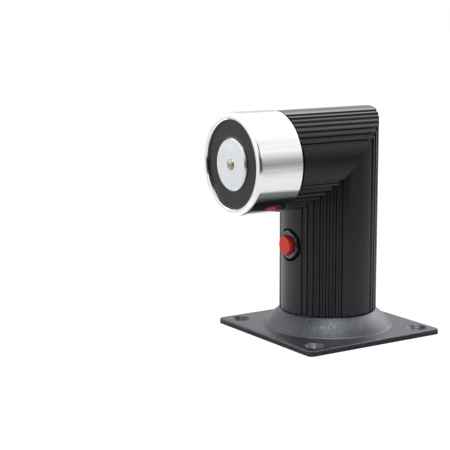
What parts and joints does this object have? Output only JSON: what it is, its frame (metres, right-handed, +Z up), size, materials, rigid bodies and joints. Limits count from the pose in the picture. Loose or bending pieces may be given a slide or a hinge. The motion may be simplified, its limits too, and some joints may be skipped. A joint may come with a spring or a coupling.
{
  "type": "electromagnetic door holder",
  "caption": "Floor or wall mounted door-holding electromagnet on a ribbed, mitred arm and post, with a release push button, a sprung ejector pin and a square flanged base.",
  "frame": {"origin": "centre of the base's underside, in the middle of the four floor screw holes", "axes": "+Z up along the post, -Y out of the magnet's pole face, X across"},
  "size_m": [0.0904, 0.1122, 0.127],
  "materials": {
    "base_casting": "die-cast, fine textured dark grey powder coat",
    "housing": "ribbed profile, satin black coat",
    "cleat_casting": "raw casting",
    "chromed_pot": "bright chrome with faint lengthwise brushing",
    "satin_pole": "satin ground steel with polished bevel",
    "resin": "dark grey potting resin",
    "bobbin_plastic": "moulded nylon",
    "copper_winding": "enamelled copper wire",
    "rubber_seal": "black rubber",
    "zinc_plate": "zinc-plated sheet",
    "plated_screws": "zinc-plated steel",
    "spring_wire": "spring steel",
    "ejector_brass": "turned brass",
    "switch_plastic": "black moulded plastic",
    "dress_nut": "black moulded nut, slightly glossy",
    "contact_brass": "stamped brass",
    "red_cap": "red moulded plastic",
    "plunger_plastic": "natural moulded plastic",
    "block_plastic": "natural moulded plastic",
    "diode_body": "moulded diode body with tinned wires",
    "lead_insulation": "insulated copper lead"
  },
  "bodies": {
    "holder": {"base_plate": "base_casting", "post_housing": "housing", "arm_housing": "housing", "corner_cleat": "cleat_casting", "magnet_pot": "chromed_pot", "pole_core": "satin_pole", "potting_resin": "resin", "coil_bobbin": "bobbin_plastic", "coil_winding": "copper_winding", "seal_gasket": "rubber_seal", "lead_grommet": "rubber_seal", "mounting_disc": "zinc_plate", "inner_bracket": "zinc_plate", "disc_screws": "plated_screws", "base_screws": "plated_screws", "bracket_screws": "plated_screws", "terminal_screws": "plated_screws", "magnet_bolt": "plated_screws", "switch_washer": "plated_screws", "ejector_spring": "spring_wire", "button_spring": "spring_wire", "switch_barrel": "switch_plastic", "switch_case": "switch_plastic", "switch_nut": "dress_nut", "switch_contacts": "contact_brass", "terminal_clamps": "contact_brass", "terminal_block": "block_plastic", "suppressor_diode": "diode_body", "magnet_leads": "lead_insulation", "switch_lead": "lead_insulation"},
    "release_button": {"button_cap": "red_cap", "switch_plunger": "plunger_plastic", "contact_bridge": "contact_brass"},
    "ejector": {"ejector_pin": "ejector_brass"}
  },
  "joints": [
    {"name": "button_press", "type": "slide", "parent": "holder", "child": "release_button", "axis": [0, 1, 0], "range_m": [0, 0.0018], "stiffness_N_per_m": 600, "springref_m": -0.0015, "deforming": ["button_spring"]},
    {"name": "ejector_slide", "type": "slide", "parent": "holder", "child": "ejector", "axis": [0, 1, 0], "range_m": [0, 0.0011], "stiffness_N_per_m": 1500, "springref_m": -0.002, "deforming": ["ejector_spring"]}
  ]
}
